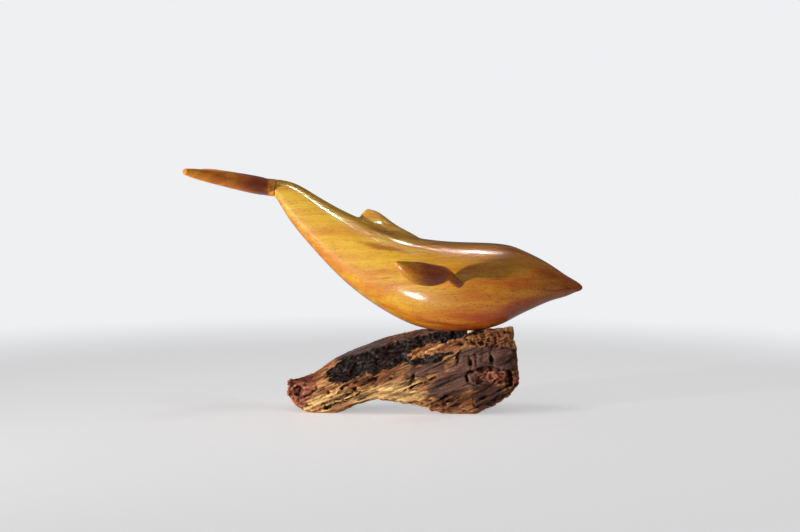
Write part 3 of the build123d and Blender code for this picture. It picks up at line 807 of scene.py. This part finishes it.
class FIGURINE_OT_whale_body(bpy.types.Operator):
    """Carves the body and its dorsal fin from one piece of lacquered wood"""

    bl_idname = "figurine.whale_body"
    bl_label = "Whale body"

    def execute(self, context):
        settings = context.scene.whale
        piece, points, edges = carved_skin("carved_body", "whale_body", settings.skin_step)
        put_points(piece.data, points)

        # the hollow where the dorsal fin meets the back is softened, then all of it a little
        inwards = (eased(points, edges, 1, 1.0) - points) * rows(piece.data.vertex_normals, "vector")
        hollow = step_up(inwards.sum(axis=1) / settings.skin_step, 0.03, 0.10)
        near_fin = step_up(points[:, 0], *FIN_BACK) * (1.0 - step_up(points[:, 0], *FIN_FRONT))
        near_fin *= step_up(points[:, 2], *FIN_FOOT)
        soften = step_up(spread(hollow * near_fin, edges, 6), 0.01, 0.16)
        points = eased(points, edges, 26, 0.9 * soften)
        points = eased(points, edges, 2, 0.5)
        put_points(piece.data, points)

        put_shares(piece.data, "stain_and_shade", body_stain(points))
        put_shares(piece.data, "streak_and_shade", body_streaks_and_shade(points))
        material = lacquered_wood("lacquered_body_wood", settings, (0.0, radians(1.5), 0.0),
                                  (1.0, 1.0, 1.0), (0.0, 0.028, -0.062))
        finished(piece, "whale", "whale_wood", material, "whale_body")
        return {"FINISHED"}


class FIGURINE_OT_whale_fins(bpy.types.Operator):
    """Makes the tail fluke and the two flippers of lacquered wood"""

    bl_idname = "figurine.whale_fins"
    bl_label = "Fluke and flippers"

    def execute(self, context):
        settings = context.scene.whale
        # the fluke's tint is partly its own warmer wood and partly painted light, brightening lobes that face away
        # from the key light
        fluke = lacquered_wood("lacquered_fluke_wood", settings, (0.0, radians(12.0), radians(24.0)),
                               (1.30, 0.90, 0.50), (0.0, 0.05, -0.13))
        flipper = lacquered_wood("lacquered_flipper_wood", settings, (0.0, radians(-14.0), radians(-38.0)),
                                 (0.98, 0.82, 0.62), (0.0, 0.02, -0.08))
        for name, node, material in (
            ("carved_fluke", "tail_fluke", fluke),
            ("carved_right_flipper", "right_flipper", flipper),
            ("carved_left_flipper", "left_flipper", flipper),
        ):
            piece, points, edges = carved_skin(name, node, settings.fin_step)
            points = eased(points, edges, 3, 0.5)
            put_points(piece.data, points)
            # painted shade: the fluke's root and the flippers' roots and upper halves are darkened where they turn
            # away from the key light
            if node == "tail_fluke":
                root_shade = step_up(points[:, 0], *FLUKE_ROOT) * (1.0 - step_up(points[:, 0], *FLUKE_SEAM))
                stain_and_shade, streak_and_shade = 0.05 + 0.95 * root_shade, 0.85 * root_shade
            else:
                root_shade = step_up(points[:, 0] + FLIPPER_ROOT_SLOPE * (points[:, 2] - FLIPPER_ROOT_UP), *FLIPPER_ROOT)
                stain_and_shade, streak_and_shade = 0.06 + 0.74 * root_shade, 0.70 * root_shade
            put_shares(piece.data, "stain_and_shade", stain_and_shade)
            put_shares(piece.data, "streak_and_shade", streak_and_shade)
            finished(piece, "whale", "whale_wood", material, node)
        return {"FINISHED"}


class FIGURINE_OT_dowels(bpy.types.Operator):
    """Gives the CAD dowels their turned wood"""

    bl_idname = "figurine.dowels"
    bl_label = "Dowels"

    def execute(self, context):
        material = turned_wood("turned_dowel_wood")
        for node in ("fluke_dowel", "right_flipper_dowel", "left_flipper_dowel", "mounting_dowel"):
            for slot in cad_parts[node].material_slots:
                slot.material = material
        return {"FINISHED"}


def nearest_numbers(places, points):
    """The number of the place that is nearest to each point."""
    tree = KDTree(len(places))
    for number, place in enumerate(places):
        tree.insert(Vector(place), number)
    tree.balance()
    return np.array([tree.find(Vector(p))[1] for p in points])


class FIGURINE_OT_root_wood(bpy.types.Operator):
    """Breaks up the root wood's lump into split, chipped, pitted and charred wood"""

    bl_idname = "figurine.root_wood"
    bl_label = "Root wood"

    def execute(self, context):
        settings = context.scene.root_wood
        piece = even_skin("root_wood_lump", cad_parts["driftwood_base"].data, settings.rough_step)
        mesh = piece.data
        start, normals = rows(mesh.vertices, "co"), rows(mesh.vertex_normals, "vector")
        belly = surface_of(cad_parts["whale_body"].data)
        room = np.array([belly.find_nearest(Vector(p))[3] for p in start]) - settings.clearance
        dowel = np.hypot(start[:, 0] - DOWEL_X, start[:, 1])
        hold = step_up(room, *BELLY_RIM) * step_up(dowel, *DOWEL_RIM) * step_up(start[:, 2], *FOOT_RIM)

        patches = read_patches(start / MM)
        height, gap, chip = coarse_carving(start / MM, normals, patches)
        height = np.minimum(height * hold, np.maximum(room, 0.0) / MM * HIGHEST_SHARE)
        moved = above_ground(start + normals * height[:, None] * MM)
        put_points(mesh, moved)

        # a second skin has even faces again, and takes over what the nearest vertex of the first one knows
        again = even_skin("root_wood_again", mesh, settings.skin_step)
        piece.data = again.data
        bpy.data.objects.remove(again)
        mesh = piece.data
        mesh.name = "root_wood_lump"
        points, normals = rows(mesh.vertices, "co"), rows(mesh.vertex_normals, "vector")
        edges = rows(mesh.edges, "vertices", 2, np.int32)
        source = nearest_numbers(moved, points)
        kept = {name: spread(values[source], edges, 1) for name, values in patches.items()}
        gap, chip, hold = spread(gap[source], edges, 1), chip[source], hold[source]
        height = fine_carving(start[source] / MM, kept) * (0.15 + 0.85 * hold)
        points = above_ground(points + normals * height[:, None] * MM)
        put_points(mesh, points)

        # how far each point stands out of its neighbours, stored to paint highlights on ridges and shade in hollows
        crest_highlight_and_shade = ((points - eased(points, edges, 5, 1.0)) * normals).sum(axis=1)
        ragged = np.maximum(kept["chip"], 0.16 * (1.0 - kept["mauve"])) * (1.0 - kept["char"]) * (1.0 - kept["slab"])
        ragged *= 1.0 - step_up(np.abs(normals @ np.array(GRAIN)), 0.22, 0.38)
        ragged *= 1.0 - step_up(np.abs(points[:, 0] - WOOD_MIDDLE), *SPLINTER_END)
        shares = {name + "_share": kept[name] for name in ("char", "mauve", "red", "slab", "darker_patch", "pale")}
        shares |= {
            "crest_highlight_and_shade": np.clip(crest_highlight_and_shade / CREST_HEIGHT, -1.0, 1.0),
            # the painted shade in the gaps
            "gap_shade_share": np.clip(gap * 1.1, 0.0, 1.0) * (0.4 + 0.6 * hold),
            "chip_tone": chip * (0.35 + 0.65 * kept["chip"]),
            "splinter_share": np.clip(ragged, 0.0, 1.0) * hold * step_up(points[:, 2], *SPLINTER_FOOT),
        }
        for name, values in shares.items():
            put_shares(mesh, name, values)
        finished(piece, "base", "root_wood", broken_wood("broken_root_wood", settings), "driftwood_base")
        return {"FINISHED"}


def splinter_tree():
    """Geometry Nodes that set tapered splinters along the grain, where the wood stores a splinter share."""
    tree = bpy.data.node_groups.new("Splinters", "GeometryNodeTree")
    for name, kind, default in (
        ("Wood", "Geometry", None), ("Splinter material", "Material", None), ("Length", "Float", 0.007),
        ("Width", "Float", 0.001), ("Thickness", "Float", 0.0005), ("Crowd", "Float", 100000.0),
        ("Lift", "Float", 0.25), ("Grain", "Vector", (1.0, 0.0, 0.0)), ("Seed", "Int", 0),
    ):
        made = tree.interface.new_socket(name, in_out="INPUT", socket_type="NodeSocket" + kind)
        if default is not None:
            made.default_value = default
    tree.interface.new_socket("Splinters", in_out="OUTPUT", socket_type="NodeSocketGeometry")

    n = Nodes(tree)

    def random(kind, inputs):
        """Another number or row of numbers for each splinter."""
        made = n.node("FunctionNodeRandomValue", inputs, data_type=kind)
        return next(socket for socket in made.outputs if socket.enabled)

    given = n.node("NodeGroupInput").outputs
    stored = n.node("GeometryNodeInputNamedAttribute", {"Name": "splinter_share"}, data_type="FLOAT")
    crowd = n.sum("MULTIPLY", stored.outputs["Attribute"], given["Crowd"])
    spots = n.node("GeometryNodeDistributePointsOnFaces", {
        "Mesh": given["Wood"], "Density": crowd, "Seed": given["Seed"]}, distribute_method="RANDOM").outputs
    cone = n.node("GeometryNodeMeshCone", {
        "Vertices": 5, "Side Segments": 3, "Radius Top": 0.10, "Radius Bottom": 0.5, "Depth": 1.0},
        fill_type="NGON").outputs["Mesh"]
    place = n.node("GeometryNodeInputPosition").outputs[0]
    sway = n.node("ShaderNodeTexNoise", {"Vector": place, "Scale": 2.2, "Detail": 1.0}, noise_dimensions="3D")
    sway = n.vector("SUBTRACT", sway.outputs["Color"], (0.5, 0.5, 0.5))
    sway = n.vector("MULTIPLY", sway, (0.5, 0.5, 0.0))
    bent = n.node("GeometryNodeSetPosition", {"Geometry": cone, "Offset": sway}).outputs[0]

    lift = random("FLOAT", {"Min": 0.02, "Max": given["Lift"], "Seed": 3})
    out = n.scaled(spots["Normal"], lift)
    stray = random("FLOAT_VECTOR", {0: (-0.16, -0.16, -0.16), 1: (0.16, 0.16, 0.16)})
    heading = n.vector("ADD", n.vector("ADD", given["Grain"], out), stray)
    turn = n.node("FunctionNodeAlignRotationToVector", {"Vector": heading}, axis="Z").outputs[0]
    size = n.node("ShaderNodeCombineXYZ", {0: given["Width"], 1: given["Thickness"], 2: given["Length"]}).outputs[0]
    vary = random("FLOAT_VECTOR", {0: (0.35, 0.35, 0.25), 1: (1.0, 1.0, 1.0), "Seed": 11})
    stand = n.node("GeometryNodeInstanceOnPoints", {
        "Points": spots["Points"], "Instance": bent, "Rotation": turn, "Scale": n.vector("MULTIPLY", size, vary)})
    real = n.node("GeometryNodeRealizeInstances", {"Geometry": stand.outputs[0]}).outputs[0]
    dressed = n.node("GeometryNodeSetMaterial", {"Geometry": real, "Material": given["Splinter material"]}).outputs[0]
    n.node("NodeGroupOutput", {"Splinters": dressed})
    return tree


class FIGURINE_OT_splinters(bpy.types.Operator):
    """Sets splinters and chips on the broken parts of the root wood"""

    bl_idname = "figurine.splinters"
    bl_label = "Splinters"

    def execute(self, context):
        settings = context.scene.splinters
        wood = bpy.data.objects["root_wood_lump"]
        material = wood.data.materials[0]
        tree = splinter_tree()
        for name, length, width, flatness, crowd, lift, seed in (
            ("root_splinters", settings.length, settings.width, 0.6, 1.0, 0.30, settings.seed),
            ("root_chips", settings.chip_length, settings.chip_width, 0.35, 0.45, 0.42, settings.seed + 1),
        ):
            sizes = {"Splinter material": material, "Grain": GRAIN, "Length": length, "Width": width,
                     "Thickness": width * flatness, "Crowd": settings.crowd * crowd, "Lift": lift, "Seed": seed}
            piece = bpy.data.objects.new(name, wood.data.copy())
            context.scene.collection.objects.link(piece)
            maker = piece.modifiers.new("Splinters", "NODES")
            maker.node_group = tree
            for socket in tree.interface.items_tree:
                if socket.in_out == "INPUT" and socket.name in sizes:
                    maker[socket.identifier] = sizes[socket.name]
            piece.data = with_modifiers(piece)
            if not piece.data.polygons:
                raise RuntimeError(f"{name}: the root wood has no place for splinters")
            put_points(piece.data, above_ground(rows(piece.data.vertices, "co")))
            finished(piece, "base", "root_wood", material)
        return {"FINISHED"}


class FIGURINE_OT_stage(bpy.types.Operator):
    """Sets up the pale floor, the soft lamps and the camera"""

    bl_idname = "figurine.stage"
    bl_label = "Stage"

    def execute(self, context):
        scene, settings = context.scene, context.scene.stage
        corners = [radians(angle) for angle in range(0, 360, 6)]
        ring = [(settings.floor_size * cos(a), settings.floor_size * sin(a), 0.0) for a in corners]
        mesh = bpy.data.meshes.new("floor")
        mesh.from_pydata(ring, [], [tuple(range(len(ring)))])
        floor = new_object("floor", mesh)
        mesh.materials.append(plain_floor("matt_floor", settings))

        scene.world = bpy.data.worlds.new("soft_sky")
        scene.world.use_nodes = True
        sky = Nodes(scene.world.node_tree)
        rays = sky.node("ShaderNodeLightPath").outputs
        strength = sky.node("ShaderNodeMapRange", {
            "Value": rays["Is Glossy Ray"], "To Min": settings.sky, "To Max": settings.sky * settings.sheen})
        light = sky.tree.nodes["Background"]
        sky.feed(light.inputs["Color"], (1.0, 1.0, 1.0))
        sky.feed(light.inputs["Strength"], strength.outputs["Result"])
        seen = sky.node("ShaderNodeBackground", {"Color": settings.backdrop})
        mix = sky.node("ShaderNodeMixShader", {0: rays["Is Camera Ray"], 1: light.outputs[0], 2: seen.outputs[0]})
        sky.feed(sky.tree.nodes["World Output"].inputs["Surface"], mix.outputs[0])

        # name, target, place seen from the target, sizes, power, beam in degrees, seen by plain and by glossy wood
        aim = Vector(settings.aim)
        tail, head = Vector((-0.043, -0.007, 0.136)), Vector((0.055, -0.014, 0.107))
        key, top, gloss = settings.key_power, settings.top_power, settings.gloss_power
        for name, target, place, sizes, power, beam, plain, glossy in (
            ("key_light", aim, (-0.77, -0.47, -0.055), (0.05, 0.05), key, 60, True, True),
            ("top_light", aim, (0.05, -0.10, 0.90), (0.30, 0.20), top, 180, True, False),
            ("tail_light", tail, (0.18, -0.594, 0.648), (0.04, 0.08), gloss * 0.015, 10, False, True),
            ("head_light", head, (0.10, -0.09, 0.89), (0.04, 0.07), gloss * 0.013, 8, False, True),
            ("front_light", aim, (-0.215, -0.82, -0.074), (0.09, 0.032), gloss * 1.4, 180, False, True),
        ):
            lamp = bpy.data.lights.new(name, "AREA")
            lamp.shape = "RECTANGLE"
            lamp.size, lamp.size_y = sizes
            lamp.energy, lamp.spread = power, radians(beam)
            stand = bpy.data.objects.new(name, lamp)
            stand.location = target + Vector(place)
            stand.rotation_euler = (-Vector(place)).to_track_quat("-Z", "Y").to_euler()
            stand.visible_diffuse, stand.visible_glossy = plain, glossy
            scene.collection.objects.link(stand)

        camera = bpy.data.objects.new("camera", bpy.data.cameras.new("camera"))
        camera.data.lens, camera.data.sensor_width = settings.lens, FILM_WIDTH
        camera.data.clip_start, camera.data.clip_end = 0.01, 20.0
        back = Vector((0.0, -cos(settings.elevation), sin(settings.elevation)))
        camera.location = aim + back * settings.distance
        camera.rotation_euler = (-back).to_track_quat("-Z", "Y").to_euler()
        scene.collection.objects.link(camera)
        scene.camera = camera
        scene.view_settings.view_transform = "Standard"
        return {"FINISHED"}


class FIGURINE_PT_pieces(bpy.types.Panel):
    """Lists the operators that make the figurine, with the sizes and colours they use"""

    bl_idname = "FIGURINE_PT_pieces"
    bl_label = "Whale figurine"
    bl_space_type = "VIEW_3D"
    bl_region_type = "UI"
    bl_category = "Figurine"

    def draw(self, context):
        for operator in OPERATORS:
            self.layout.operator(operator.bl_idname)
        for settings in (context.scene.whale, context.scene.root_wood, context.scene.splinters, context.scene.stage):
            box = self.layout.box()
            for name in settings.__annotations__:
                box.prop(settings, name)


OPERATORS = (
    FIGURINE_OT_whale_body,
    FIGURINE_OT_whale_fins,
    FIGURINE_OT_dowels,
    FIGURINE_OT_root_wood,
    FIGURINE_OT_splinters,
    FIGURINE_OT_stage,
)
SETTINGS = {
    "whale": WhaleSettings,
    "root_wood": RootWoodSettings,
    "splinters": SplinterSettings,
    "stage": StageSettings,
}


def register():
    """Makes the settings, the operators and the panel known to Blender."""
    for name, group in SETTINGS.items():
        bpy.utils.register_class(group)
        setattr(bpy.types.Scene, name, PointerProperty(type=group))
    for part in (*OPERATORS, FIGURINE_PT_pieces):
        bpy.utils.register_class(part)


def unregister():
    """Takes them all away again."""
    for part in (FIGURINE_PT_pieces, *reversed(OPERATORS)):
        bpy.utils.unregister_class(part)
    for name, group in reversed(SETTINGS.items()):
        delattr(bpy.types.Scene, name)
        bpy.utils.unregister_class(group)


def main():
    """Makes every piece in order."""
    register()
    figurine = bpy.ops.figurine
    for make in (figurine.whale_body, figurine.whale_fins, figurine.dowels, figurine.root_wood,
                 figurine.splinters, figurine.stage):
        make()


if __name__ == "__main__":
    main()
